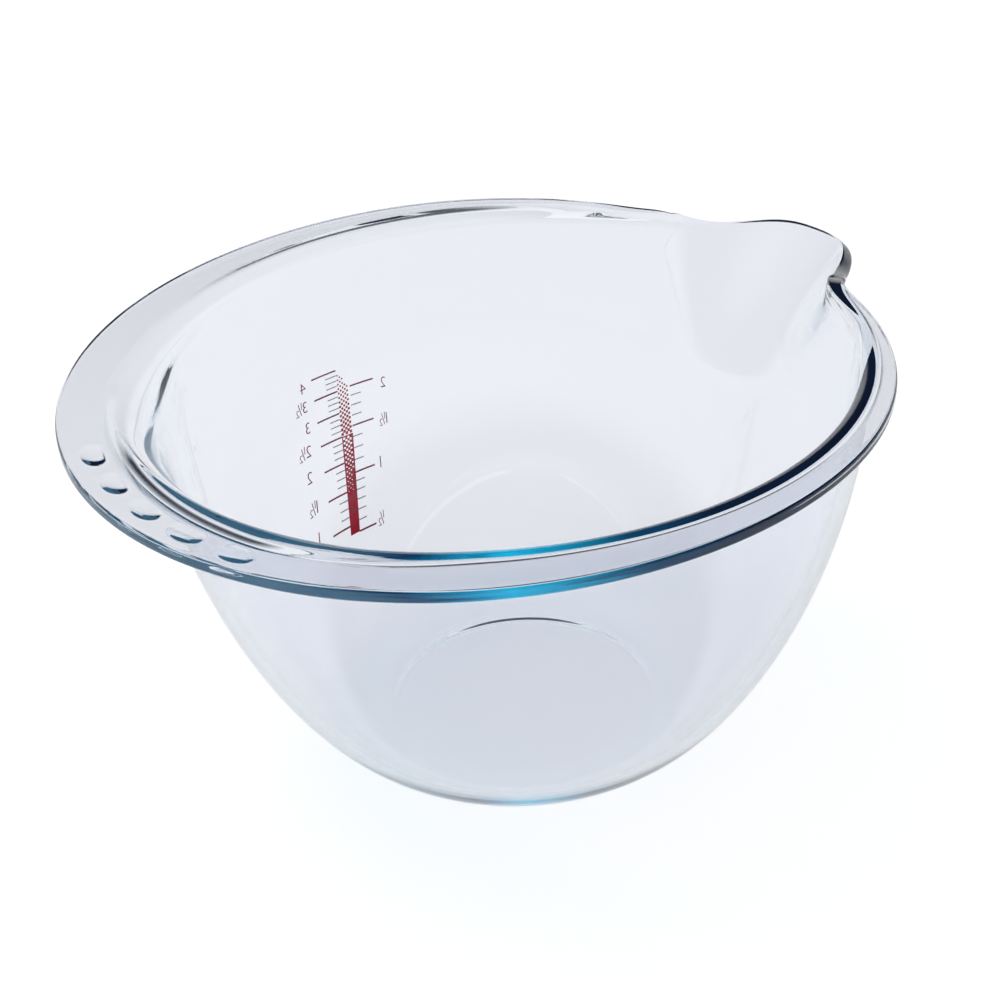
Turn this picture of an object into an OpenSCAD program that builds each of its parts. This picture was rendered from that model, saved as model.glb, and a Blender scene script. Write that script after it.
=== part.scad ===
// Pressed glass mixing bowl with a pouring spout, a thumb grip and a printed measuring scale.
// Millimetres, +Z up, +X towards the spout. The origin is the middle of the flat base.

/* [Bowl] */
// Height from the table to the top of the rim
bowl_h = 145; // [125:1:180]
// Inside diameter of the mouth, below the rounded lip
mouth_d = 231; // [205:1:265]
// Diameter of the flat circle that the bowl stands on
base_d = 108; // [90:1:130]
// Thickness of the side wall
wall_t = 4.5; // [3.5:0.1:6]
// Thickness of the floor
floor_t = 6; // [4.5:0.1:9]
// How far the outside keeps the direction of the base before it turns up
base_sweep = 26; // [18:0.5:32]
// How far the outside keeps upright below the rim
side_sweep = 73; // [60:0.5:80]
// Angle at which the outside leaves the table
heel_angle = 6; // [0:1:14]

/* [Rim] */
// Diameter of the round rim flange
rim_d = 269.2; // [262:0.2:290]
// Distance that the flange sits off centre, towards the thumb grip
rim_shift = 14.7; // [11:0.1:17]
// Thickness of the flange
rim_t = 4.4; // [3.4:0.1:6]
// Radius of the two corners of the flange's edge
rim_edge_r = 1.3; // [0.8:0.1:1.6]
// Radius of the rounded inner edge of the mouth
lip_r = 3.2; // [2:0.1:3.4]
// How far the rounding of the mouth widens on the side of the thumb grip
flare_w = 16; // [12:0.5:17]
// Depth of that wider rounding
flare_depth = 24; // [18:0.5:26]
// Radius of the cove where the flange meets the outside of the wall
cove_r = 4; // [2:0.1:5]
// Radius of that cove on the side of the thumb grip
grip_cove_r = 13; // [11:0.5:15]

/* [Thumb grip] */
// Number of raised pads under the flange, an odd number
pad_count = 5; // [3:2:7]
// Length of one pad, along the flange
pad_l = 14.6; // [10:0.2:16]
// Width of one pad, across the flange
pad_w = 8.6; // [6:0.2:10]
// How far a pad stands out from the underside of the flange
pad_rise = 0.8; // [0.5:0.1:1.4]
// Distance from one pad to the next, along the flange
pad_pitch = 19.8; // [18:0.2:22]

/* [Spout] */
// How far the spout reaches out past the wall
spout_reach = 35; // [24:0.5:40]
// Width of the spout at half its reach
spout_w = 62; // [46:0.5:70]
// How far the pouring edge lies below the rim
spout_drop = 9; // [4:0.5:14]
// Height of the channel that runs up the inside of the wall to the spout
spout_channel_h = 48; // [40:1:70]

/* [Printed scale] */
// Side of the cube that holds one litre
litre_side = 100; // [97:0.5:103]
// Thickness of the fired enamel
enamel_t = 0.12; // [0.08:0.01:0.2]
// Width of the bar at the four pint mark
bar_top_w = 5.1; // [4:0.1:7]
// Width of the bar at the half litre mark
bar_foot_w = 3.6; // [2.5:0.1:5]
// Length of a numbered mark at the top of the scale
mark_top_w = 9.6; // [7:0.1:12]
// Length of a numbered mark at the foot of the scale
mark_foot_w = 6.7; // [5:0.1:9]
// Stroke of a numbered mark
mark_stroke = 0.55; // [0.4:0.05:0.9]
// Stroke of a minor mark
minor_stroke = 0.35; // [0.25:0.05:0.6]
// Distance between neighbouring dots in a row of the fading bar
dot_pitch = 1.66; // [1.4:0.02:2]

/* [Hidden] */
$fn = 120;

overrun = 20;
top_r = mouth_d / 2 + wall_t;
base_r = base_d / 2;
rim_r = rim_d / 2;
wall_steps = 36;
arc_steps = 8;

// a pint and its fractions, as shares of a litre
pint_share = 0.56826;
litre = pow(litre_side, 3);
pint = litre * pint_share;

// Wall profile, a cubic curve from the edge of the base to the rim

function blend(u, a, b, c, d) =
    pow(1 - u, 3) * a + 3 * pow(1 - u, 2) * u * b + 3 * (1 - u) * u * u * c + pow(u, 3) * d;
function slope(u, a, b, c, d) =
    3 * (pow(1 - u, 2) * (b - a) + 2 * (1 - u) * u * (c - b) + u * u * (d - c));
heel = [base_r, 0];
heel_pull = heel + base_sweep * [cos(heel_angle), sin(heel_angle)];
brim = [top_r, bowl_h];
brim_pull = brim - [0, side_sweep];
function outside(u) = blend(u, heel, heel_pull, brim_pull, brim);
function outward(u) =
    let (d = slope(u, heel, heel_pull, brim_pull, brim)) [d.y, -d.x] / norm(d);
// the glass thins from the floor to the wall over the lower part of the curve
thinning_share = 0.35;
function glass_t(u) = wall_t + (floor_t - wall_t) * pow(max(0, 1 - u / thinning_share), 2);
function inside(u) = outside(u) - glass_t(u) * outward(u);
function skin_at(u, t) = outside(u) + t * outward(u);

outside_pts = [for (i = [0:wall_steps]) outside(i / wall_steps)];
inside_pts = [for (i = [0:wall_steps]) inside(i / wall_steps)];

// where the wall is at a given height, outside and inside
out_table = [for (p = outside_pts) [p.y, p.x]];
in_table = [for (p = inside_pts) [p.y, p.x]];
function out_r(z) = lookup(z, out_table);
function in_r(z) = lookup(z, in_table);

// Capacity up to each height of the inside, by summing slices of a cone

function slice(p, q) = PI / 3 * (p.x * p.x + p.x * q.x + q.x * q.x) * (q.y - p.y);
fill_table = [
    for (i = 0, v = 0; i <= wall_steps;
         v = i < wall_steps ? v + slice(inside_pts[i], inside_pts[i + 1]) : v, i = i + 1)
    [v, inside_pts[i].y]
];
function level(volume) = lookup(volume, fill_table);

// Arc points around a centre, from one angle to another

function arc(centre, r, from, to) =
    [for (i = [0:arc_steps]) let (a = from + (to - from) * i / arc_steps) centre + r * [cos(a), sin(a)]];

// Spout: a bump on the wall that grows towards the rim

spout_top = bowl_h - spout_drop;
spout_start = spout_top - spout_channel_h;
spout_rows = 12;
spout_cols = 16;
// fullness of the bump: 2 is a bell, higher is a flat front with steep flanks
spout_fullness = 2.9;
// how the reach grows with the height
spout_growth = 1.5;
// width of the bump at the start of the channel, as a share of its width at the top
spout_start_share = 0.68;
// smallest height of the bump that is drawn, as a share of its reach
bump_foot_share = 0.004;
// the two bumps start this far inside their own wall
bump_sink = wall_t / 8;
spout_core_share = 0.8;
// the glass of a steep flank is as thick as the wall when it is moved in by this share of it
flank_share = 0.45;
half_angle = asin(spout_w / 2 / (top_r + spout_reach / 2));

function bump_share(i) =
    let (b = pow(cos(90 * i / spout_cols), 2)) max(b, bump_foot_share);
function bump_place(i) = pow(-ln(bump_share(i)) / ln(2), 1 / spout_fullness);
function rise(z) = max(0, (z - spout_start) / (spout_top - spout_start));
function reach(z) = spout_reach * pow(rise(z), spout_growth);
function half_at(z, half) = half * (spout_start_share + (1 - spout_start_share) * min(1, rise(z)));
function polar(r, a, z) = [r * cos(a), r * sin(a), z];
// one level section of the bump, closed behind the wall
function spout_section(z, r, half) = [
    for (i = [-spout_cols:spout_cols])
        let (a = sign(i) * half_at(z, half) * bump_place(abs(i)))
        polar(r - bump_sink + reach(z) * bump_share(abs(i)), a, z),
    for (s = [1, -1]) polar(top_r * spout_core_share, s * half_at(z, half) * bump_place(spout_cols), z)
];
// half width of the dip in the rim, and the fullness of its curve
dip_half = spout_w * 0.61;
dip_fullness = 6;
dip_steps = 24;
function dip(y) = spout_drop * exp(-ln(2) * pow(abs(y) / dip_half, dip_fullness));

// Printed scale: the artwork is pressed on sideways, along one direction

press_angle = 55;
// lateral places on the artwork, as shares of the mouth radius
bar_offset_share = 0.514;
bar_edge = mouth_d / 2 * bar_offset_share;
scale_foot = level(litre / 2);
scale_head = level(4 * pint);
bar_shoulder = level(2 * litre);
fade_start = level(1.5 * pint);
fade_middle = level(2.5 * pint);
function along(z, foot, head) = foot + (head - foot) * (z - scale_foot) / (scale_head - scale_foot);
function bar_w(z) = along(z, bar_foot_w, bar_top_w);
function mark_w(z) = along(z, mark_foot_w, mark_top_w);
// length of a minor mark, as a share of a numbered one
minor_share = 0.45;

// dots: the lattice is a chequerboard, and their radius falls with the height
dot_row = dot_pitch / 2;
dot_r_max = dot_pitch * 0.33;
dot_r_min = dot_pitch * 0.17;
hole_r_max = dot_pitch * 0.29;
hole_r_min = dot_pitch * 0.1;
bar_cols = ceil(bar_top_w / dot_pitch);

// A solid from level sections that all have the same number of points
module skin(sections) {
    n = len(sections[0]);
    m = len(sections);
    points = [for (s = sections, p = s) p];
    sides = [
        for (j = [0:m - 2], i = [0:n - 1])
            let (a = j * n + i, b = j * n + (i + 1) % n)
            each [[a, a + n, b], [b, a + n, b + n]]
    ];
    foot = [[for (i = [0:n - 1]) i]];
    head = [[for (i = [0:n - 1]) m * n - 1 - i]];
    polyhedron(points = points, faces = concat(sides, foot, head), convexity = 6);
}

module wall_solid() {
    rotate_extrude() polygon(concat([[0, 0]], outside_pts, [[0, bowl_h]]));
}

// round flange with rounded corners, off centre towards the thumb grip
module flange() {
    corner_r = rim_r - rim_edge_r;
    translate([-rim_shift, 0, bowl_h - rim_t])
        rotate_extrude()
            polygon(concat([[0, 0]],
                           arc([corner_r, rim_edge_r], rim_edge_r, -90, 0),
                           arc([corner_r, rim_t - rim_edge_r], rim_edge_r, 0, 90),
                           [[0, rim_t]]));
}

// a cove of one radius under the flange, turned about an axis that lies off centre by the shift
module turned_cove(r, shift) {
    under = bowl_h - rim_t;
    foot_r = top_r - shift;
    translate([-shift, 0, 0])
        rotate_extrude()
            polygon(concat([[0, under - r]],
                           arc([foot_r + r, under - r], r, 180, 90),
                           [[0, under + rim_t / 4]]));
}

// both coves, trimmed where the flange is narrower than they are
module cove() {
    intersection() {
        union() {
            turned_cove(cove_r, 0);
            turned_cove(grip_cove_r, rim_shift / 2);
        }
        translate([-rim_shift, 0, 0]) cylinder(r = rim_r - rim_edge_r, h = bowl_h);
    }
}

module spout_outside() {
    skin([for (j = [0:spout_rows])
        let (z = spout_start + (bowl_h - spout_start) * j / spout_rows)
        spout_section(z, out_r(z), half_angle)]);
}

// inside of the spout, narrower by the glass of each flank
module spout_inside() {
    flank = asin(wall_t * flank_share / (top_r + spout_reach / 2));
    skin([for (j = [0:spout_rows])
        let (z = spout_start + (bowl_h + rim_t - spout_start) * j / spout_rows)
        spout_section(z, in_r(min(z, bowl_h)), half_angle - flank)]);
}

// what is cut off above the dipping edge of the spout
module dip_cut() {
    span = top_r / 2;
    ys = [for (i = [-dip_steps:dip_steps]) span * i / dip_steps];
    outline = concat([for (y = ys) [y, bowl_h - dip(y) + rim_t / 1000]],
                     [[span, bowl_h + overrun], [-span, bowl_h + overrun]]);
    translate([top_r * spout_core_share, 0, 0])
        rotate([90, 0, 90])
            linear_extrude(top_r) polygon(outline);
}

// the space inside, with the rounded lip
module inside_cut() {
    lip = arc([inside(1).x + lip_r, bowl_h - lip_r], lip_r, 180, 90);
    below = [for (p = inside_pts) if (p.y < bowl_h - lip_r) p];
    rotate_extrude()
        polygon(concat([[0, inside_pts[0].y]], below, lip,
                       [[lip[arc_steps].x, bowl_h + overrun], [0, bowl_h + overrun]]));
}

// the wider rounding of the mouth, an eccentric cut that dies out towards the spout
module grip_flare() {
    shift = rim_shift / 2;
    foot_r = inside(1).x - shift;
    curve = [for (p = arc([0, 0], 1, 180, 90)) [foot_r + flare_w * (1 + p.x), bowl_h - flare_depth * (1 - p.y)]];
    translate([-shift, 0, 0])
        rotate_extrude()
            polygon(concat([[0, bowl_h - flare_depth]], curve,
                           [[foot_r + flare_w, bowl_h + overrun], [0, bowl_h + overrun]]));
}

// radius of the arc over a chord
function arc_r(chord, rise) = (chord * chord / 4 + rise * rise) / (2 * rise);

// one oval pad: the top of a barrel that lies along the flange, with its foot sunk into the glass
module thumb_pad() {
    round_r = arc_r(pad_w, pad_rise);
    long_r = arc_r(pad_l, pad_rise);
    root = rim_t / 8;
    half = acos(1 - (pad_rise + 2 * root) / long_r);
    barrel = arc([round_r - long_r, 0], long_r, -half, half);
    intersection() {
        translate([0, 0, pad_rise - round_r])
            rotate([90, 0, 0])
                rotate_extrude() polygon(concat([[0, barrel[0].y]], barrel, [[0, barrel[arc_steps].y]]));
        translate([-pad_w, -pad_l, -root]) cube([2 * pad_w, 2 * pad_l, root + 2 * pad_rise]);
    }
}

// the row of pads hangs under the flange, half a pad in from its corner
module thumb_pads() {
    row_r = rim_shift + rim_r - rim_edge_r - pad_w;
    middle = (pad_count - 1) / 2;
    for (i = [-middle:middle])
        rotate(180 + i * pad_pitch / row_r * 180 / PI)
            translate([row_r, 0, bowl_h - rim_t]) mirror([0, 0, 1]) thumb_pad();
}

module glass_bowl() {
    color("LightBlue", 0.35)
        union() {
            difference() {
                union() {
                    wall_solid();
                    flange();
                    cove();
                    spout_outside();
                }
                inside_cut();
                grip_flare();
                spout_inside();
                dip_cut();
            }
            thumb_pads();
        }
}

// a skin of enamel over the outside of the wall
module enamel_skin() {
    us = [for (i = [0:wall_steps]) i / wall_steps];
    rotate_extrude()
        polygon(concat(outside_pts, [for (i = [wall_steps:-1:0]) skin_at(us[i], enamel_t)]));
}

// presses flat artwork, drawn as [sideways, height], onto the wall
module press_print(tone) {
    color(tone)
        intersection() {
            enamel_skin();
            rotate([90, 0, press_angle + 90])
                linear_extrude(top_r + overrun) children();
        }
}

module mark(z, from, width, stroke) {
    translate([from, z - stroke / 2]) square([width, stroke]);
}

// chequerboard places between two heights, inside the bar
function lattice(from, to, margin) = [
    for (k = [0:floor((to - from) / dot_row)], c = [0:bar_cols])
        let (z = from + k * dot_row, s = (c + (k % 2) / 2) * dot_pitch + margin)
        if (s < bar_w(z) - margin && z < bar_slant(s) - margin) [bar_edge - s, z]
];
// the bar ends in a slant from the four pint mark down to the two litre mark
function bar_slant(s) = scale_head - (scale_head - bar_shoulder) * s / bar_top_w;

module scale_bar() {
    press_print("firebrick")
        difference() {
            polygon([[bar_edge, scale_foot], [bar_edge, fade_middle],
                     [bar_edge - bar_w(fade_middle), fade_middle], [bar_edge - bar_w(scale_foot), scale_foot]]);
            for (p = lattice(fade_start, fade_middle - dot_row, dot_pitch / 2)) {
                tone = (p.y - fade_start) / (fade_middle - fade_start);
                translate(p) circle(hole_r_min + (hole_r_max - hole_r_min) * tone);
            }
        }
}

module scale_dots() {
    press_print("firebrick")
        for (p = lattice(fade_middle + dot_row, scale_head, dot_pitch / 4)) {
            tone = (p.y - fade_middle) / (scale_head - fade_middle);
            translate(p) circle(dot_r_max - (dot_r_max - dot_r_min) * tone);
        }
}

module litre_marks() {
    press_print("maroon")
        for (v = [1:4]) {
            z = level(v * litre / 2);
            mark(z, bar_edge - bar_w(z) - mark_w(z), mark_w(z), mark_stroke);
        }
}

module pint_marks() {
    press_print("maroon")
        for (v = [2:8]) {
            z = level(v * pint / 2);
            mark(z, bar_edge, mark_w(z), mark_stroke);
        }
}

// litres: five minor marks in the lowest half litre, three in each of the others
// pints: three in each half pint
module minor_marks() {
    press_print("rosybrown") {
        for (v = [1:3], k = [1:(v == 1 ? 5 : 3)]) {
            z = level((v + k / (v == 1 ? 6 : 4)) * litre / 2);
            mark(z, bar_edge - bar_w(z) - mark_w(z) * minor_share, mark_w(z) * minor_share, minor_stroke);
        }
        for (v = [2:7], k = [1:3]) {
            z = level((v + k / 4) * pint / 2);
            mark(z, bar_edge, mark_w(z) * minor_share, minor_stroke);
        }
    }
}

glass_bowl();
scale_bar();
scale_dots();
litre_marks();
pint_marks();
minor_marks();
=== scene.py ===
import bpy
import numpy as np
from mathutils import Matrix


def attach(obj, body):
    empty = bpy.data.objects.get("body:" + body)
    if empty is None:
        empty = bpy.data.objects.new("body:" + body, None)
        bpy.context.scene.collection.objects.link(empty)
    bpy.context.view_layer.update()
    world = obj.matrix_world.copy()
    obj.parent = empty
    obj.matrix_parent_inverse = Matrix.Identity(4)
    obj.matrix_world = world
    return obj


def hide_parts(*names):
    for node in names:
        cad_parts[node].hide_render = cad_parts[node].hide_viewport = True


mm = 0.001
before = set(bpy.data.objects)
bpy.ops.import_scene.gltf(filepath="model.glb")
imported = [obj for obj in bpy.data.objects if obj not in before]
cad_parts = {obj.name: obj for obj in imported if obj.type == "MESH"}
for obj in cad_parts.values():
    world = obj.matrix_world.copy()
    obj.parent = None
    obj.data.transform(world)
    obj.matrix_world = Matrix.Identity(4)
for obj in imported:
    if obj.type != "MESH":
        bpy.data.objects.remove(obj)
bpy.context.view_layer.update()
print("frame: nodes", sorted(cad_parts))


# Camera, fitted to the photo's outline of the bowl

camera = {
    "place": (-379.3, -466.0, 451.4),
    "yaw": -38.74,
    "pitch": 31.02,
    "roll": -3.30,
    "focalPixels": 2038.59,
    "imageWidth": 1000,
    "imageHeight": 990,
    "centrePixel": (500.73, 490.70),
}


def makeCamera(spec):
    data = bpy.data.cameras.new("viewCamera")
    width = spec["imageWidth"]
    data.sensor_width = 36
    data.lens = spec["focalPixels"] * data.sensor_width / width
    data.shift_x = (width / 2 - spec["centrePixel"][0]) / width
    data.shift_y = (spec["centrePixel"][1] - spec["imageHeight"] / 2) / width
    data.clip_start = 0.05
    data.clip_end = 50
    yaw, pitch, roll = np.radians([spec["yaw"], spec["pitch"], spec["roll"]])
    forward = np.array([-np.sin(yaw) * np.cos(pitch), np.cos(yaw) * np.cos(pitch), -np.sin(pitch)])
    right = np.array([np.cos(yaw), np.sin(yaw), 0.0])
    up = np.cross(right, forward)
    tiltedRight = np.cos(roll) * right + np.sin(roll) * up
    tiltedUp = np.cos(roll) * up - np.sin(roll) * right
    turn = np.eye(4)
    turn[:3, 0], turn[:3, 1], turn[:3, 2] = tiltedRight, tiltedUp, -forward
    turn[:3, 3] = np.array(spec["place"]) * mm
    obj = bpy.data.objects.new("viewCamera", data)
    obj.matrix_world = Matrix(turn.tolist())
    bpy.context.scene.collection.objects.link(obj)
    bpy.context.scene.camera = obj


makeCamera(camera)
print("camera: placed")


# Mesh helpers


def meshFromArrays(name, points, faces, smooth=True):
    mesh = bpy.data.meshes.new(name)
    mesh.from_pydata((points * mm).tolist(), [], faces)
    if smooth:
        mesh.polygons.foreach_set("use_smooth", np.ones(len(mesh.polygons), bool))
    mesh.update()
    obj = bpy.data.objects.new(name, mesh)
    bpy.context.scene.collection.objects.link(obj)
    return obj


def smoothStep(x):
    x = np.clip(x, 0, 1)
    return x * x * (3 - 2 * x)


def softMax(x, floor, softness):
    # x where it is well above the floor, the floor where it is well below, rounded between
    return floor + 0.5 * (x - floor + np.sqrt((x - floor) ** 2 + softness**2))


def blendFrom(angle, turn):
    # 0 up to the first angle of turn, then a smooth step to 1 over its second
    start, width = np.radians(turn)
    return smoothStep((np.abs(angle) - start) / width)


def fourier(angle, terms):
    # sum over k of terms[k] times cos(k angle)
    return sum(term * np.cos(k * angle) for k, term in enumerate(terms))


# The bowl

bowl = {
    "height": 145.0,
    "wallRadius": 120.0,
    "baseRadius": 54.0,
    # how far the outside keeps the direction of the base, how far it stays upright below the rim, and the
    # angle at which it leaves the table
    "baseSweep": 26.0,
    "sideSweep": 73.0,
    "heelAngle": 6.0,
    # thickness of wall and floor, and the share of the wall's curve over which one turns into the other
    "wall": 4.5,
    "floor": 6.0,
    "thinning": 0.35,
    # power by which the inside of the floor is dished, and how far in its rings go
    "floorDish": 6.0,
    "floorCentre": 0.06,
    # the underside: radius of the stand ring, the recess within it, and the radii of its rings
    "standRing": 50.0,
    "recessWidth": 5.5,
    "recessDepth": 0.72,
    "baseRings": (52.5, 51.2, 50.2, 49.45, 48.7, 47.95, 47.2, 46.45, 45.7, 44.95, 44.2, 36.0, 24.0, 11.0),
    # outline of the flange and of the visible inner edge of its top, as cosine terms of the angle from the spout
    "rimOutline": (134.3, -13.91, 0.6, -1.43, -0.36),
    "lipOutline": (119.78, -3.89, 1.14, -0.76),
    # how softly the flange and the lip fade where they are narrowest
    "rimSoftness": 0.8,
    "lipSoftness": 0.5,
    "rimThickness": 4.4,
    "edgeRadius": 1.3,
    # cove under the flange: where it is narrow, where it is wide, and at the thumb grip
    "coveRadius": (4.0, 13.0, 4.5),
    # depth of the rounded lip as a share of its width, where it is narrow and where it is wide
    "lipShape": (1.0, 1.5),
    # reach of the lip from which cove and lip begin to change, and over how much more they do
    "coveRange": (3.0, 7.0),
    "lipRange": (1.5, 5.0),
    "lipLeast": 1.1,
    # steepness at which the lip's visible edge is seen from a little above
    "edgeSlope": 1.664,
    "spoutLipShare": 0.3,
    # angle up to which the rim leans with the wall of the spout, and over how many degrees it turns upright
    "leanTurn": (24.0, 14.0),
    # wall kept below the section of the rim, and the height over which the section takes its own direction
    "cutMargin": 1.0,
    "straighten": 6.0,
    # angle from the spout where the thumb grip begins, and over how many degrees it takes over
    "gripTurn": (132.0, 34.0),
    # how much further out the inner edge lies there, and the start and the power of the flare below it
    "gripReach": 3.0,
    "flareStart": 120.0,
    "flareGrowth": 1.5,
    # the spout: how far it reaches, its half angle at half reach, the share of that at its start, the power of
    # its bell, the power by which it grows with height, and the height that it starts at
    "spoutReach": 35.0,
    "spoutHalfAngle": 13.17,
    "spoutStartShare": 0.68,
    "spoutFullness": 2.9,
    "spoutGrowth": 1.5,
    "spoutStart": 88.0,
    # how far the pouring edge lies below the rim, and the half angle and the power of that dip
    "spoutDrop": 9.0,
    "dipHalfAngle": 17.1,
    "dipFullness": 6.5,
    # raised ovals under the flange: their row, and half their length, half their width and their rise
    "padCount": 5,
    "padRow": 139.5,
    "padPitch": 19.8,
    "padSize": (7.1, 4.2, 0.85),
    # pads lie this far out from the wall, and fade into the side of the flange over this height
    "padsFrom": 5.0,
    "padFade": 0.4,
    # the mesh: columns round the bowl, denser at spout and grip by angle, fade and factor, and rows up it
    "columns": 464,
    "denseSpout": (26.0, 14.0, 2.1),
    "denseGrip": (19.0, 10.0, 3.0),
    "wallRows": 40,
    # share of the wall's curve below which its direction isn't taken, because the curve begins there
    "firstShare": 2e-4,
    "rimRows": 108,
    "flatRows": 10,
    "arcSteps": 40,
    "cornerSteps": 20,
    # density of rows along the rim: its two ends, the arcs, the top, the corners, the edge, the underside
    "rimDensity": (0.3, 1.0, 0.6, 2.2, 1.6, 1.1),
}


def wallCurve(u):
    # cubic curve from the edge of the base to the rim: radius and height at the share u of the curve
    heel = np.radians(bowl["heelAngle"])
    sweep, side = bowl["baseSweep"], bowl["sideSweep"]
    base, wall, top = bowl["baseRadius"], bowl["wallRadius"], bowl["height"]
    r = (1 - u) ** 3 * base + 3 * (1 - u) ** 2 * u * (base + sweep * np.cos(heel))
    r = r + 3 * (1 - u) * u**2 * wall + u**3 * wall
    z = 3 * (1 - u) ** 2 * u * sweep * np.sin(heel) + 3 * (1 - u) * u**2 * (top - side) + u**3 * top
    return r, z


def wallShareAt(height):
    # share of the curve at which it reaches a height, from a fine table
    table = np.linspace(0, 1, 2001)
    return np.interp(height, wallCurve(table)[1], table)


def spoutPush(angle, z):
    # how far the spout pushes the wall out: reach of the height times a flat-fronted bell of the angle
    top = bowl["height"] - bowl["spoutDrop"]
    rise = np.clip((z - bowl["spoutStart"]) / (top - bowl["spoutStart"]), 0, None)
    start = bowl["spoutStartShare"]
    half = np.radians(bowl["spoutHalfAngle"]) * (start + (1 - start) * np.minimum(rise, 1))
    bell = np.exp(-np.log(2) * (np.abs(angle) / half) ** bowl["spoutFullness"])
    return bowl["spoutReach"] * rise ** bowl["spoutGrowth"] * bell


def gripShare(angle):
    # 0 round the body and 1 over the thumb grip
    return blendFrom(angle, bowl["gripTurn"])


def lipReach(angle):
    # how far out from the inside of the wall the visible edge of the lip lies
    reach = fourier(angle, bowl["lipOutline"]) - bowl["wallRadius"] + bowl["wall"]
    return softMax(reach + bowl["gripReach"] * gripShare(angle), bowl["lipLeast"], bowl["lipSoftness"])


def flareWidth(angle):
    # over the thumb grip the wall itself steps out below the rim, and only a small lip is left on top
    return gripShare(angle) * (lipReach(angle) - bowl["lipLeast"])


def flarePush(angle, z):
    # the lean grows as a power of the height above its start
    rise = np.clip((z - bowl["flareStart"]) / (bowl["height"] - bowl["flareStart"]), 0, None)
    return flareWidth(angle) * rise ** bowl["flareGrowth"]


def outerPoint(angle, u):
    # outside of the wall: the curve turned round the axis, with spout and flare added to its radius
    r, z = wallCurve(u)
    r = r + spoutPush(angle, z) + flarePush(angle, z)
    return np.stack([r * np.cos(angle), r * np.sin(angle), z + 0 * angle], -1)


def outerFrame(angle, u):
    # unit normal and unit upward tangent of the outside, by central differences
    step = 1e-4
    around = outerPoint(angle + step, u) - outerPoint(angle - step, u)
    upward = outerPoint(angle, u + step) - outerPoint(angle, u - step)
    normal = np.cross(around, upward)
    normal /= np.linalg.norm(normal, axis=-1, keepdims=True)
    upward /= np.linalg.norm(upward, axis=-1, keepdims=True)
    return normal, upward


def glassThickness(u):
    # the wall, and near the base what the floor has more, by the square of the nearness
    extra = bowl["floor"] - bowl["wall"]
    return bowl["wall"] + extra * np.clip(1 - u / bowl["thinning"], 0, None) ** 2


def columnAngles():
    # angles round the bowl, closer together at the spout and at the thumb grip
    grid = np.linspace(-np.pi, np.pi, 7201)
    density = 1 + bowl["denseSpout"][2] * (1 - blendFrom(grid, bowl["denseSpout"][:2]))
    density += bowl["denseGrip"][2] * (1 - blendFrom(np.pi - np.abs(grid), bowl["denseGrip"][:2]))
    share = np.concatenate([[0], np.cumsum((density[1:] + density[:-1]) / 2)])
    return np.interp(np.arange(bowl["columns"]) / bowl["columns"], share / share[-1], grid)


def resample(points, weights, count):
    # spreads count points along each row's polyline, evenly in length times weight
    length = np.linalg.norm(np.diff(points, axis=1), axis=-1) * weights
    along = np.concatenate([np.zeros((len(points), 1)), np.cumsum(length, axis=1)], axis=1)
    along /= along[:, -1:]
    row = 2.0 * np.arange(len(points))[:, None]
    wanted = (np.linspace(0, 1, count)[None, :] + row).ravel()
    have = (along + row).ravel()
    parts = [np.interp(wanted, have, points[..., k].ravel()) for k in range(points.shape[-1])]
    return np.stack(parts, -1).reshape(len(points), count, -1)


def polarPoints(radius, angle, z):
    # points of each row from its radii and heights
    return np.stack([radius * np.cos(angle)[:, None], radius * np.sin(angle)[:, None], z], -1)


def arcPoints(centreX, centreY, radiusX, radiusY, start, stop, count):
    # an elliptic arc in each row, from one angle to another
    t = start + (stop - start) * np.linspace(0, 1, count)[None, :]
    return np.stack([centreX + radiusX * np.cos(t), centreY + radiusY * np.sin(t)], -1)


def rimSection(overhang, lipWidth, lipDepth, cove, turn, cut):
    # section of the rim: out from the wall and up from the cut, inner side first
    edge, thick, wall = bowl["edgeRadius"], bowl["rimThickness"], bowl["wall"]
    arcs, corners = bowl["arcSteps"], bowl["cornerSteps"]
    sizes = (overhang, lipWidth, lipDepth, cove, turn, cut)
    overhang, lipWidth, lipDepth, cove, turn, cut = (size[:, None] for size in sizes)
    level = 0 * overhang
    upright, back = level + np.pi / 2, level + np.pi
    straight = np.clip(overhang - edge - cove, 0, None)
    lower = cut - thick + edge
    foot = np.stack([level - wall, level], -1)
    lip = arcPoints(lipWidth - wall, cut - lipDepth, lipWidth, lipDepth, back, upright, arcs)
    edgeTop = arcPoints(overhang - edge, cut - edge, edge, edge, upright, level, corners)
    edgeLow = arcPoints(overhang - edge, lower, edge, edge, level, -turn, corners)
    coveX = overhang - edge + (edge + cove) * np.cos(turn) - straight * np.sin(turn)
    coveY = lower - (edge + cove) * np.sin(turn)
    coveArc = arcPoints(coveX, coveY, cove, cove, np.pi - turn, back, arcs)
    end = np.stack([level, level], -1)
    parts = [foot, lip, edgeTop, edgeLow, coveArc, end]
    ends, arc, top, corner, side, under = ([density] for density in bowl["rimDensity"])
    weights = ends + arc * (arcs - 1) + top + corner * (corners - 1) + side
    weights += corner * (corners - 1) + under + arc * (arcs - 1) + ends
    return resample(np.concatenate(parts, axis=1), np.array(weights), bowl["rimRows"])


def padRise(points):
    # how far the pads stand out at each point of the flange: an oval dome, flat outside its outline
    long, wide, rise = bowl["padSize"]
    middle = (bowl["padCount"] - 1) / 2
    total = 0.0
    for turn in np.pi + (np.arange(bowl["padCount"]) - middle) * bowl["padPitch"] / bowl["padRow"]:
        across = points[..., 0] * np.cos(turn) + points[..., 1] * np.sin(turn) - bowl["padRow"]
        along = points[..., 1] * np.cos(turn) - points[..., 0] * np.sin(turn)
        total = total + rise * np.clip(1 - (along / long) ** 2 - (across / wide) ** 2, 0, None)
    return total


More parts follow.
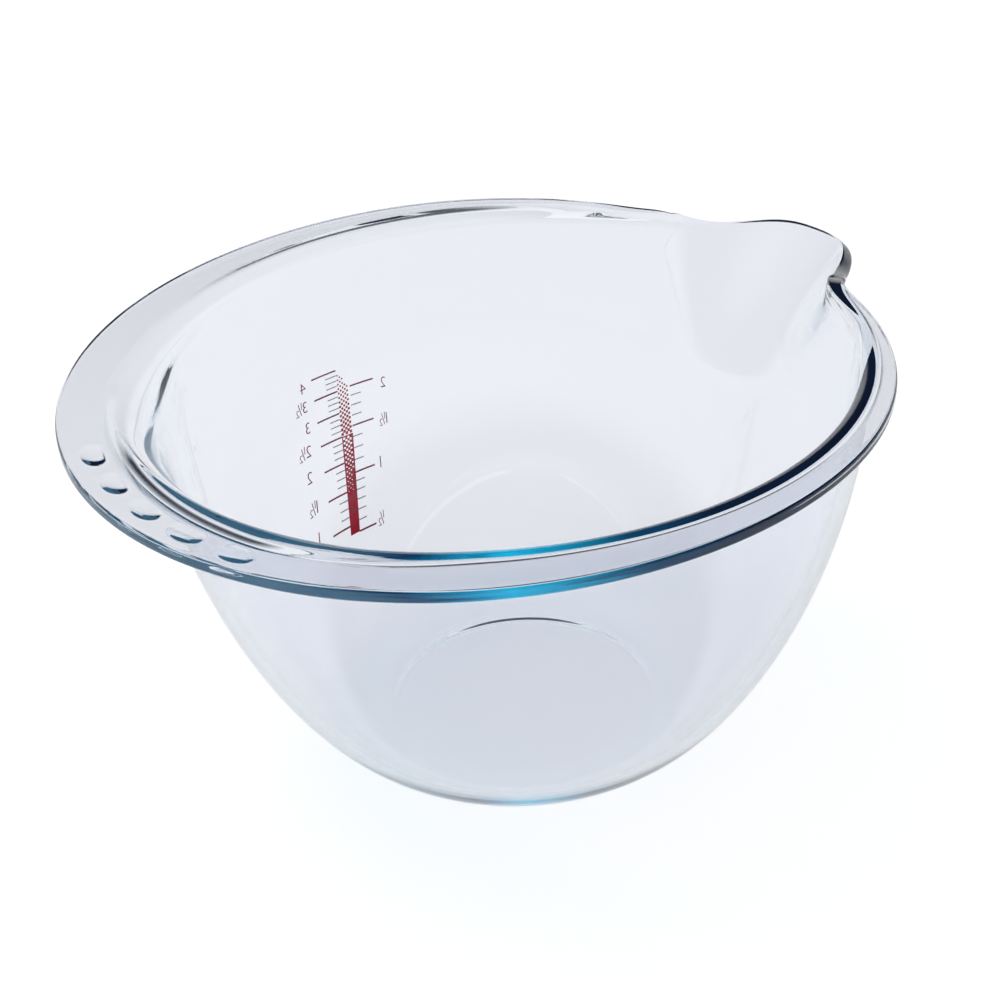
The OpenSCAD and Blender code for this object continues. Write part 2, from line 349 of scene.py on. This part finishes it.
def rimSizes(angle):
    # overhang of the flange, width and depth of the lip, cove, its turn, and height of the section
    edge, thick = bowl["edgeRadius"], bowl["rimThickness"]
    overhang = fourier(angle, bowl["rimOutline"]) - bowl["wallRadius"] - flareWidth(angle)
    overhang = softMax(overhang, 0, bowl["rimSoftness"])
    reach, grip = lipReach(angle), gripShare(angle)
    small, large, gripCove = bowl["coveRadius"]
    first, span = bowl["coveRange"]
    cove = small + (large - small) * smoothStep((reach - first) / span)
    cove += (gripCove - cove) * grip
    # what the flare leaves over is the lip's, and it is sharper along the spout
    reach = reach - flareWidth(angle)
    plain, full = bowl["lipShape"]
    first, span = bowl["lipRange"]
    shape = plain + (full - plain) * smoothStep((reach - first) / span)
    sharper = 1 - (1 - blendFrom(angle, bowl["leanTurn"])) * (1 - bowl["spoutLipShare"])
    lipWidth = reach / (1 - np.cos(np.arctan(bowl["edgeSlope"] * shape))) * sharper
    lipDepth = shape * lipWidth
    turn = np.arccos(np.clip(1 - overhang / (edge + cove), 0, 1))
    cut = np.maximum(thick - edge + (edge + cove) * np.sin(turn), lipDepth) + bowl["cutMargin"]
    return overhang, lipWidth, lipDepth, cove, turn, cut


def spoutDip(angle):
    # how far the top edge drops at the spout: a flat-bottomed bell of the angle
    half = np.radians(bowl["dipHalfAngle"])
    return bowl["spoutDrop"] * np.exp(-np.log(2) * (np.abs(angle) / half) ** bowl["dipFullness"])


def placeRim(angle, sizes, start, normal, upward, lean):
    # sets the section on the cut wall: it leans with the wall at the spout and stands upright elsewhere
    cut = sizes[-1][:, None]
    section = rimSection(*sizes)
    x, y = section[..., :1], section[..., 1:]
    lean = lean[:, None, None]
    radial = np.stack([np.cos(angle), np.sin(angle), 0 * angle], -1)[:, None, :]
    across = radial + (normal - radial) * (lean + (1 - lean) * (1 - smoothStep(y / bowl["straighten"])))
    upwards = np.array([0, 0, 1.0]) + (upward - [0, 0, 1.0]) * lean
    # elsewhere it follows the flare of the wall, and the flange keeps the place that the flare ends at
    around, low = angle[:, None, None], start[..., 2:]
    first, reached, last = (wallCurve(wallShareAt(z))[0] + flarePush(around, z)
                            for z in (low, low + y, low + cut[..., None]))
    follow = reached - first + (last - reached) * smoothStep(x / bowl["coveRadius"][0])
    rim = start + x * across + y * upwards + (1 - lean) * follow * radial
    fade = bowl["padFade"]
    below = smoothStep((cut - bowl["rimThickness"] + fade - section[..., 1]) / fade)
    rim[..., 2] -= padRise(rim) * below * (section[..., 0] > bowl["padsFrom"])
    return rim


def floorRows(angle, inside):
    # inside of the floor, a little dished, from the foot of the inner wall to near its centre
    inward = np.linspace(1, bowl["floorCentre"], bowl["flatRows"] + 1)[1:][None, :]
    radius = inward * np.hypot(inside[:, 0, 0], inside[:, 0, 1])[:, None]
    power = bowl["floorDish"]
    dish = bowl["baseRadius"] * np.tan(np.radians(bowl["heelAngle"])) * (1 - inward**power) / power
    return polarPoints(radius, angle, inside[:, :1, 2] - dish)


def baseRows(angle):
    # underside of the foot, with a shallow recess within its stand ring
    radius = np.array(bowl["baseRings"])[None, :] + 0 * angle[:, None]
    recess = bowl["recessDepth"] * smoothStep((bowl["standRing"] - radius) / bowl["recessWidth"])
    return polarPoints(radius, angle, recess)


def glassRows():
    angle = columnAngles()
    sizes = rimSizes(angle)
    cut = sizes[-1]
    lean = 1 - blendFrom(angle, bowl["leanTurn"])
    top = bowl["height"] - spoutDip(angle)
    # height at which the wall is cut, found step by step because the section leans with the wall
    upright = np.ones_like(angle)
    for _ in range(6):
        shareTop = wallShareAt(top - cut * upright)
        upright = 1 + (outerFrame(angle, shareTop)[1][:, 2] - 1) * lean
    share = shareTop[:, None] * np.linspace(0, 1, bowl["wallRows"])[None, :]
    around = angle[:, None] + 0 * share
    outside = outerPoint(around, share)
    normal, upward = outerFrame(around, np.maximum(share, bowl["firstShare"]))
    inside = outside - glassThickness(share)[..., None] * normal
    rim = placeRim(angle, sizes, outside[:, -1:, :], normal[:, -1:, :], upward[:, -1:, :], lean)
    return np.concatenate([floorRows(angle, inside)[:, ::-1], inside, rim[:, 1:-1], outside[:, ::-1],
                           baseRows(angle)], axis=1)


def makeGlassBowl():
    # joins neighbouring columns by quads and closes floor and base with a fan each
    rows = glassRows()
    columns, depth = rows.shape[:2]
    index = np.arange(columns * depth).reshape(columns, depth)
    nextIndex = np.roll(index, -1, axis=0)
    quads = np.stack([index[:, :-1], nextIndex[:, :-1], nextIndex[:, 1:], index[:, 1:]], -1).reshape(-1, 4)
    points = rows.reshape(-1, 3)
    poleTop, poleBase = len(points), len(points) + 1
    poles = np.array([[0, 0, rows[:, 0, 2].mean()], [0, 0, rows[:, -1, 2].mean()]])
    first, last = index[:, 0], index[:, -1]
    fanTop = [(poleTop, int(b), int(a)) for a, b in zip(first, np.roll(first, -1))]
    fanBase = [(poleBase, int(a), int(b)) for a, b in zip(last, np.roll(last, -1))]
    faces = [tuple(q[::-1]) for q in quads.tolist()] + [f[::-1] for f in fanTop] + [f[::-1] for f in fanBase]
    obj = meshFromArrays("pressedGlassBowl", np.concatenate([points, poles]), faces)
    return obj


glassBowl = makeGlassBowl()
print("bowl: glass with", len(glassBowl.data.polygons), "faces")


# Printed numerals, pressed on sideways like the rest of the scale

numerals = {
    # direction that the artwork is pressed from, and how deep and how high each film reaches from the glass
    "pressAngle": 55.0,
    "film": (-0.02, 0.12),
    "digitHeight": 3.9,
    "digitWidthShare": 0.8,
    # the half: each character, its height, how high its foot lies, and the step after it
    "half": (("1", 2.5, 1.775, -0.5), ("/", 4.29, -0.3, -0.75), ("2", 2.5, -0.45, 0.0)),
    "thinner": -0.012,
    "gap": 0.45,
    # value: sideways place on the artwork and height on the wall, of the middle of its text
    "pints": {"4": (72.3, 91.0), "3/": (73.6, 84.0), "3": (71.9, 76.4), "2/": (73.8, 68.5),
              "2": (73.0, 59.8), "1/": (72.6, 49.6), "1": (71.5, 39.8)},
    "litres": {"2": (41.4, 82.6), "1/": (42.6, 69.2), "1": (45.2, 54.4), "/": (47.0, 35.8)},
}


def glyph(text, height):
    # one character as flat points and faces, its lower left corner at the origin
    curve = bpy.data.curves.new("glyph", "FONT")
    curve.body = text
    curve.resolution_u = 6
    curve.offset = numerals["thinner"]
    holder = bpy.data.objects.new("glyph", curve)
    bpy.context.scene.collection.objects.link(holder)
    evaluated = holder.evaluated_get(bpy.context.evaluated_depsgraph_get())
    mesh = evaluated.to_mesh()
    points = np.empty(len(mesh.vertices) * 3)
    mesh.vertices.foreach_get("co", points)
    points = points.reshape(-1, 3)[:, :2]
    faces = [list(p.vertices) for p in mesh.polygons]
    evaluated.to_mesh_clear()
    bpy.data.objects.remove(holder)
    bpy.data.curves.remove(curve)
    low, high = points.min(0), points.max(0)
    scale = height / (high[1] - low[1])
    return (points - low) * [scale * numerals["digitWidthShare"], scale], faces


def numeralOutline(value):
    # digits side by side, and a trailing slash as a small half
    tall, gap = numerals["digitHeight"], numerals["gap"]
    parts, x = [], 0.0
    for character in value.rstrip("/"):
        points, faces = glyph(character, tall)
        parts.append((points + [x, 0], faces))
        x += np.ptp(points[:, 0]) + gap
    if value.endswith("/"):
        for character, height, lift, step in numerals["half"]:
            points, faces = glyph(character, height)
            parts.append((points + [x, lift], faces))
            x += np.ptp(points[:, 0]) + gap + step
    points = np.concatenate([p for p, _ in parts])
    starts = np.cumsum([0] + [len(p) for p, _ in parts])
    faces = [[v + start for v in face] for (_, group), start in zip(parts, starts) for face in group]
    return points - (points.min(0) + points.max(0)) / 2, faces


def pressOnWall(points, offset):
    # artwork [sideways, height] onto the outside of the wall, moved out along the wall's own normal
    r, z = wallCurve(wallShareAt(points[:, 1]))
    step = 0.05
    rise = wallCurve(wallShareAt(points[:, 1] + step))[0] - r
    lean = np.arctan2(rise, step)
    angle = np.radians(numerals["pressAngle"]) + np.arcsin(points[:, 0] / r)
    out = r + offset * np.cos(lean)
    return np.stack([out * np.cos(angle), out * np.sin(angle), z - offset * np.sin(lean)], -1)


def rimEdges(faces):
    # edges used by one face only, in that face's direction
    edges = [(a, b) for face in faces for a, b in zip(face, face[1:] + face[:1])]
    used = set(edges)
    return [(a, b) for a, b in edges if (b, a) not in used]


def makeNumerals(name, places):
    shapes, faces, count = [], [], 0
    for value, (s, z) in places.items():
        outline, flat = numeralOutline(value)
        outline = outline + [s, z]
        n = len(outline)
        shapes += [pressOnWall(outline, numerals["film"][0]), pressOnWall(outline, numerals["film"][1])]
        faces += [[v + count for v in face[::-1]] for face in flat]
        faces += [[v + count + n for v in face] for face in flat]
        faces += [[a + count, b + count, b + count + n, a + count + n] for a, b in rimEdges(flat)]
        count += 2 * n
    return meshFromArrays(name, np.concatenate(shapes), faces, smooth=False)


pintNumerals = makeNumerals("pintNumerals", numerals["pints"])
litreNumerals = makeNumerals("litreNumerals", numerals["litres"])
print("print: numerals made")


# Materials


def newMaterial(name):
    material = bpy.data.materials.new(name)
    material.use_nodes = True
    tree = material.node_tree
    tree.nodes.clear()
    return material, tree


def addNode(tree, kind, **sockets):
    node = tree.nodes.new(kind)
    for key, value in sockets.items():
        node.inputs[key.replace("_", " ")].default_value = value
    return node


def fillRamp(node, steps):
    # colour stops from pairs of place and colour
    elements = node.color_ramp.elements
    for extra in steps[2:]:
        elements.new(extra[0])
    for element, (place, colour) in zip(elements, sorted(steps)):
        element.position = place
        element.color = colour


glassFinishAndPaintedGlow = {
    "tint": (0.945, 0.943, 0.982, 1),
    "absorbColour": (0.25, 0.82, 0.92, 1),
    "absorbDensity": 6.0,
    # painted glow of the edge: an emission that stands in for light trapped in the wall, as a deep blue-green
    # edge; after how many mirrorings it is given, and its colour by the angle from the spout
    "paintedGlowAfter": 3.5,
    "paintedEdgeGlowSteps": ((0.0, (0.0, 0.002, 0.009, 1)), (150.0, (0.0, 0.004, 0.015, 1)), (190.0, (0.0, 0.01, 0.035, 1)),
                  (212.0, (0.0, 0.02, 0.06, 1)), (221.0, (0.002, 0.13, 0.23, 1)), (229.0, (0.004, 0.24, 0.38, 1)),
                  (240.0, (0.003, 0.15, 0.25, 1)), (251.0, (0.0, 0.03, 0.07, 1)), (270.0, (0.0, 0.005, 0.018, 1)),
                  (360.0, (0.0, 0.002, 0.009, 1))),
    # at the thumb grip the painted glow is paler: up to how many metres from the middle of the foot, its colour,
    # and the angles at which it begins, is full, is still full and has ended
    "paintedGripGlowWithin": 0.1925,
    "paintedGripGlow": (0.03, 0.07, 0.11, 1),
    "paintedGripGlowAngles": (128.4, 150.0, 196.0, 211.0),
    # fine streaks in the painted glow round the bowl: scale of their noise, its part that is used, and what they
    # do to the glow
    "paintedGlowStreakScale": 500.0,
    "paintedGlowStreakNoise": (0.35, 0.65),
    "paintedGlowStreakChange": (0.7, 1.25),
    "ior": 1.472,
    # slow wave of the pressed surface: scale, strength and height in metres
    "wave": (9.0, 0.12, 0.002),
    # haze: scale, its part that is used, and the roughness that it gives
    "hazeScale": 26.0,
    "hazeNoise": (0.45, 0.75),
    "roughness": (0.0, 0.012),
    "shadowTint": (0.986, 0.989, 0.99, 1),
}


def rangeNode(tree, span, result):
    # maps span onto result
    node = addNode(tree, "ShaderNodeMapRange", From_Min=span[0], From_Max=span[1])
    node.inputs["To Min"].default_value, node.inputs["To Max"].default_value = result
    return node


def mathNode(tree, operation, second=None):
    node = addNode(tree, "ShaderNodeMath")
    node.operation = operation
    if second is not None:
        node.inputs[1].default_value = second
    return node


def clearGlass(finish):
    # clear pressed glass: shadow rays pass with a tint, and rays mirrored more than a few times inside it get a
    # painted glow, an emission coloured by the angle round the bowl in place of the colour of light trapped in
    # the glass edge
    material, tree = newMaterial("clearGlass")
    link = tree.links.new
    place = addNode(tree, "ShaderNodeTexCoord")
    waveScale, waveStrength, waveHeight = finish["wave"]
    waves = addNode(tree, "ShaderNodeTexNoise", Scale=waveScale, Detail=1.0, Roughness=0.4)
    bump = addNode(tree, "ShaderNodeBump", Strength=waveStrength, Distance=waveHeight)
    haze = addNode(tree, "ShaderNodeTexNoise", Scale=finish["hazeScale"], Detail=3.0)
    hazeRange = rangeNode(tree, finish["hazeNoise"], finish["roughness"])
    shader = addNode(tree, "ShaderNodeBsdfPrincipled", Base_Color=finish["tint"], IOR=finish["ior"])
    shader.inputs["Transmission Weight"].default_value = 1
    # strength of the painted glow of the glass edge
    shader.inputs["Emission Strength"].default_value = 1
    clear = addNode(tree, "ShaderNodeBsdfTransparent", Color=finish["shadowTint"])
    path = addNode(tree, "ShaderNodeLightPath")
    # painted glow: past a number of mirrorings the glass gives an emission colour set by the angle round the
    # bowl, which doesn't follow the lamps
    paintedGlowMask = mathNode(tree, "GREATER_THAN", finish["paintedGlowAfter"])
    glow = addNode(tree, "ShaderNodeMix")
    glow.data_type = "RGBA"
    glow.inputs[6].default_value = (0, 0, 0, 1)
    # the angle from the spout is taken from the opposite side, so that its seam lies at the spout
    opposite = addNode(tree, "ShaderNodeVectorMath")
    opposite.operation = "MULTIPLY"
    opposite.inputs[1].default_value = (-1, -1, 1)
    split = addNode(tree, "ShaderNodeSeparateXYZ")
    turn = mathNode(tree, "ARCTAN2")
    turnShare = rangeNode(tree, (-np.pi, np.pi), (0, 1))
    paintedEdgeGlowRamp = addNode(tree, "ShaderNodeValToRGB")
    fillRamp(paintedEdgeGlowRamp, [(degrees / 360, colour) for degrees, colour in finish["paintedEdgeGlowSteps"]])
    # painted glow, paler over the thumb grip within a distance of the foot's middle
    paintedGripGlowRamp = addNode(tree, "ShaderNodeValToRGB")
    paintedGripGlowStops = zip(finish["paintedGripGlowAngles"], ((0, 0, 0, 1), (1, 1, 1, 1), (1, 1, 1, 1), (0, 0, 0, 1)))
    fillRamp(paintedGripGlowRamp, [(degrees / 360, colour) for degrees, colour in paintedGripGlowStops])
    distance = addNode(tree, "ShaderNodeVectorMath")
    distance.operation = "LENGTH"
    within = mathNode(tree, "LESS_THAN", finish["paintedGripGlowWithin"])
    paintedGripGlowShare = mathNode(tree, "MULTIPLY")
    paintedGripGlowBlend = addNode(tree, "ShaderNodeMix")
    paintedGripGlowBlend.data_type = "RGBA"
    paintedGripGlowBlend.inputs[7].default_value = finish["paintedGripGlow"]
    # fine streaks that vary the painted glow round the bowl
    paintedGlowStreaks = addNode(tree, "ShaderNodeTexNoise", Scale=finish["paintedGlowStreakScale"], Detail=1.0)
    paintedGlowStreaks.noise_dimensions = "1D"
    paintedGlowStreakRange = rangeNode(tree, finish["paintedGlowStreakNoise"], finish["paintedGlowStreakChange"])
    streakedPaintedGlow = addNode(tree, "ShaderNodeVectorMath")
    streakedPaintedGlow.operation = "SCALE"
    mix = addNode(tree, "ShaderNodeMixShader")
    output = addNode(tree, "ShaderNodeOutputMaterial")
    absorb = addNode(tree, "ShaderNodeVolumeAbsorption", Color=finish["absorbColour"],
                     Density=finish["absorbDensity"])
    link(place.outputs["Object"], waves.inputs["Vector"])
    link(place.outputs["Object"], haze.inputs["Vector"])
    link(waves.outputs["Fac"], bump.inputs["Height"])
    link(haze.outputs["Fac"], hazeRange.inputs["Value"])
    link(hazeRange.outputs["Result"], shader.inputs["Roughness"])
    link(bump.outputs["Normal"], shader.inputs["Normal"])
    link(place.outputs["Object"], opposite.inputs[0])
    link(opposite.outputs["Vector"], split.inputs["Vector"])
    link(split.outputs["Y"], turn.inputs[0])
    link(split.outputs["X"], turn.inputs[1])
    link(turn.outputs["Value"], turnShare.inputs["Value"])
    link(turnShare.outputs["Result"], paintedEdgeGlowRamp.inputs["Fac"])
    link(place.outputs["Object"], distance.inputs[0])
    link(distance.outputs["Value"], paintedGlowStreaks.inputs["W"])
    link(paintedGlowStreaks.outputs["Fac"], paintedGlowStreakRange.inputs["Value"])
    link(turnShare.outputs["Result"], paintedGripGlowRamp.inputs["Fac"])
    link(distance.outputs["Value"], within.inputs[0])
    link(within.outputs["Value"], paintedGripGlowShare.inputs[0])
    link(paintedGripGlowRamp.outputs["Color"], paintedGripGlowShare.inputs[1])
    link(paintedGripGlowShare.outputs["Value"], paintedGripGlowBlend.inputs[0])
    link(paintedEdgeGlowRamp.outputs["Color"], paintedGripGlowBlend.inputs[6])
    link(paintedGripGlowBlend.outputs[2], streakedPaintedGlow.inputs[0])
    link(paintedGlowStreakRange.outputs["Result"], streakedPaintedGlow.inputs["Scale"])
    link(streakedPaintedGlow.outputs["Vector"], glow.inputs[7])
    # the painted glow becomes the emission colour of the glass
    link(path.outputs["Glossy Depth"], paintedGlowMask.inputs[0])
    link(paintedGlowMask.outputs["Value"], glow.inputs[0])
    link(glow.outputs[2], shader.inputs["Emission Color"])
    link(path.outputs["Is Shadow Ray"], mix.inputs["Fac"])
    link(shader.outputs["BSDF"], mix.inputs[1])
    link(clear.outputs["BSDF"], mix.inputs[2])
    link(mix.outputs["Shader"], output.inputs["Surface"])
    link(absorb.outputs["Volume"], output.inputs["Volume"])
    return material


enamels = {
    "redEnamel": {"deep": (0.62, 0.002, 0.02, 1), "bright": (0.85, 0.01, 0.045, 1), "rough": (0.28, 0.42)},
    "crimsonEnamel": {"deep": (0.3, 0.012, 0.05, 1), "bright": (0.46, 0.03, 0.09, 1), "rough": (0.3, 0.45)},
    "paleEnamel": {"deep": (0.5, 0.45, 0.5, 1), "bright": (0.66, 0.6, 0.65, 1), "rough": (0.35, 0.5)},
}


enamelGrain = {
    "grain": 1400.0,
    "clouds": 160.0,
    "grainShare": 0.6,
    # where the deep and the bright colour lie in the mixed grain
    "colours": (0.45, 1.05),
    # strength and height in metres
    "relief": (0.35, 0.00004),
}


def firedEnamel(name, finish):
    # thin fired ink: a fine screen grain in its colour, gloss and surface
    material, tree = newMaterial(name)
    link = tree.links.new
    place = addNode(tree, "ShaderNodeTexCoord")
    grain = addNode(tree, "ShaderNodeTexNoise", Scale=enamelGrain["grain"], Detail=3.0, Roughness=0.6)
    clouds = addNode(tree, "ShaderNodeTexNoise", Scale=enamelGrain["clouds"], Detail=2.0)
    blend = mathNode(tree, "MULTIPLY_ADD", enamelGrain["grainShare"])
    ramp = addNode(tree, "ShaderNodeValToRGB")
    fillRamp(ramp, list(zip(enamelGrain["colours"], (finish["deep"], finish["bright"]))))
    gloss = rangeNode(tree, (0, 1), finish["rough"])
    bump = addNode(tree, "ShaderNodeBump", Strength=enamelGrain["relief"][0], Distance=enamelGrain["relief"][1])
    shader = addNode(tree, "ShaderNodeBsdfPrincipled")
    output = addNode(tree, "ShaderNodeOutputMaterial")
    link(place.outputs["Object"], grain.inputs["Vector"])
    link(place.outputs["Object"], clouds.inputs["Vector"])
    link(grain.outputs["Fac"], blend.inputs[0])
    link(clouds.outputs["Fac"], blend.inputs[2])
    link(blend.outputs["Value"], ramp.inputs["Fac"])
    link(grain.outputs["Fac"], gloss.inputs["Value"])
    link(grain.outputs["Fac"], bump.inputs["Height"])
    link(ramp.outputs["Color"], shader.inputs["Base Color"])
    link(gloss.outputs["Result"], shader.inputs["Roughness"])
    link(bump.outputs["Normal"], shader.inputs["Normal"])
    link(shader.outputs["BSDF"], output.inputs["Surface"])
    return material


def paint(obj, material):
    obj.data.materials.clear()
    obj.data.materials.append(material)


glassMaterial = clearGlass(glassFinishAndPaintedGlow)
redEnamel, crimsonEnamel, paleEnamel = (firedEnamel(name, finish) for name, finish in enamels.items())
paint(glassBowl, glassMaterial)
for piece in (pintNumerals, litreNumerals):
    paint(piece, crimsonEnamel)
nodeFinish = {"scale_bar": redEnamel, "scale_dots": redEnamel, "litre_marks": crimsonEnamel,
              "pint_marks": crimsonEnamel, "minor_marks": paleEnamel}
for nodeName, material in nodeFinish.items():
    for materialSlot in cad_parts[nodeName].material_slots:
        materialSlot.material = material
print("materials: glass and enamels")

for piece in (glassBowl, pintNumerals, litreNumerals):
    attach(piece, "root")
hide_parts("glass_bowl")


# Studio: a white floor and world, three soft boxes and one wide even light

studio = {
    "floorSize": 6000.0,
    "floorDrop": 0.3,
    "floorColour": (0.8, 0.8, 0.8, 1),
    # light of the floor's own that only shows, and its share that shows in and through the glass
    "floorGlow": 0.38,
    "floorGlowInGlass": 0.58,
    "skyWhite": 1.0,
    # brightness of the studio by the sine of the height above the horizon
    "skySteps": ((0.0, (1.0, 1.0, 1.0, 1)), (0.16, (1.0, 1.0, 1.0, 1)), (0.3, (0.04, 0.045, 0.07, 1)),
                 (0.6, (0.06, 0.065, 0.085, 1)), (0.85, (0.58, 0.59, 0.62, 1))),
    # even light: where it comes from, its strength and its width in degrees
    "sun": ((-300, 700, 1500), 1.3, 35.0),
    # middle of the lamp, what it looks at, its two sides, its power in watts
    "lamps": {
        "topBox": ((-500, 900, 1500), (0, 0, 80), (900, 700), 4),
        "leftBox": ((-1500, -300, 700), (0, 0, 80), (500, 900), 2),
        "frontBox": ((500, -1300, 900), (0, 0, 80), (600, 500), 1.5),
    },
}


def makeFloor(spec):
    half = spec["floorSize"] / 2
    z = -spec["floorDrop"]
    corners = np.array([[-half, -half, z], [half, -half, z], [half, half, z], [-half, half, z]])
    floor = meshFromArrays("studioFloor", corners, [[0, 1, 2, 3]], smooth=False)
    material, tree = newMaterial("paleFloor")
    link = tree.links.new
    matte = addNode(tree, "ShaderNodeBsdfDiffuse", Color=spec["floorColour"])
    glow = addNode(tree, "ShaderNodeEmission")
    path = addNode(tree, "ShaderNodeLightPath")
    inGlass = mathNode(tree, "MAXIMUM")
    weaker = mathNode(tree, "MULTIPLY", spec["floorGlowInGlass"])
    seen = mathNode(tree, "ADD")
    strength = mathNode(tree, "MULTIPLY", spec["floorGlow"])
    total = addNode(tree, "ShaderNodeAddShader")
    output = addNode(tree, "ShaderNodeOutputMaterial")
    link(path.outputs["Is Transmission Ray"], inGlass.inputs[0])
    link(path.outputs["Is Glossy Ray"], inGlass.inputs[1])
    link(inGlass.outputs["Value"], weaker.inputs[0])
    link(path.outputs["Is Camera Ray"], seen.inputs[0])
    link(weaker.outputs["Value"], seen.inputs[1])
    link(seen.outputs["Value"], strength.inputs[0])
    link(strength.outputs["Value"], glow.inputs["Strength"])
    link(matte.outputs["BSDF"], total.inputs[0])
    link(glow.outputs["Emission"], total.inputs[1])
    link(total.outputs["Shader"], output.inputs["Surface"])
    paint(floor, material)


def aimLamp(name, data, place, target):
    lamp = bpy.data.objects.new(name, data)
    back = np.array(place, float) - np.array(target, float)
    back /= np.linalg.norm(back)
    right = np.cross([0, 0, 1], back)
    right /= np.linalg.norm(right)
    turn = np.eye(4)
    turn[:3, 0], turn[:3, 1], turn[:3, 2] = right, np.cross(back, right), back
    turn[:3, 3] = np.array(place) * mm
    lamp.matrix_world = Matrix(turn.tolist())
    lamp.visible_transmission = False
    bpy.context.scene.collection.objects.link(lamp)
    return lamp


def makeBox(name, place, target, sides, power):
    data = bpy.data.lights.new(name, "AREA")
    data.shape = "RECTANGLE"
    data.size, data.size_y = sides[0] * mm, sides[1] * mm
    data.energy = power
    aimLamp(name, data, place, target).visible_glossy = False


def makeSun(place, strength, spread):
    # even light from a wide soft source, which the glass doesn't mirror
    data = bpy.data.lights.new("skyLight", "SUN")
    data.energy = strength
    data.angle = np.radians(spread)
    aimLamp("skyLight", data, place, (0, 0, 0)).visible_glossy = False


def makeWorld(spec):
    world = bpy.data.worlds.new("studioWorld")
    bpy.context.scene.world = world
    world.use_nodes = True
    tree = world.node_tree
    tree.nodes.clear()
    link = tree.links.new
    place = addNode(tree, "ShaderNodeTexCoord")
    split = addNode(tree, "ShaderNodeSeparateXYZ")
    ramp = addNode(tree, "ShaderNodeValToRGB")
    fillRamp(ramp, spec["skySteps"])
    path = addNode(tree, "ShaderNodeLightPath")
    white = addNode(tree, "ShaderNodeBackground", Color=(1, 1, 1, 1), Strength=spec["skyWhite"])
    sky = addNode(tree, "ShaderNodeBackground", Strength=1.0)
    mix = addNode(tree, "ShaderNodeMixShader")
    output = addNode(tree, "ShaderNodeOutputWorld")
    link(place.outputs["Generated"], split.inputs["Vector"])
    link(split.outputs["Z"], ramp.inputs["Fac"])
    link(ramp.outputs["Color"], sky.inputs["Color"])
    link(path.outputs["Is Camera Ray"], mix.inputs["Fac"])
    link(sky.outputs["Background"], mix.inputs[1])
    link(white.outputs["Background"], mix.inputs[2])
    link(mix.outputs["Shader"], output.inputs["Surface"])


makeFloor(studio)
makeSun(*studio["sun"])
for lampName, lampValues in studio["lamps"].items():
    makeBox(lampName, *lampValues)
makeWorld(studio)
bpy.context.scene.view_settings.view_transform = "Standard"
print("studio: floor, lamps and world")
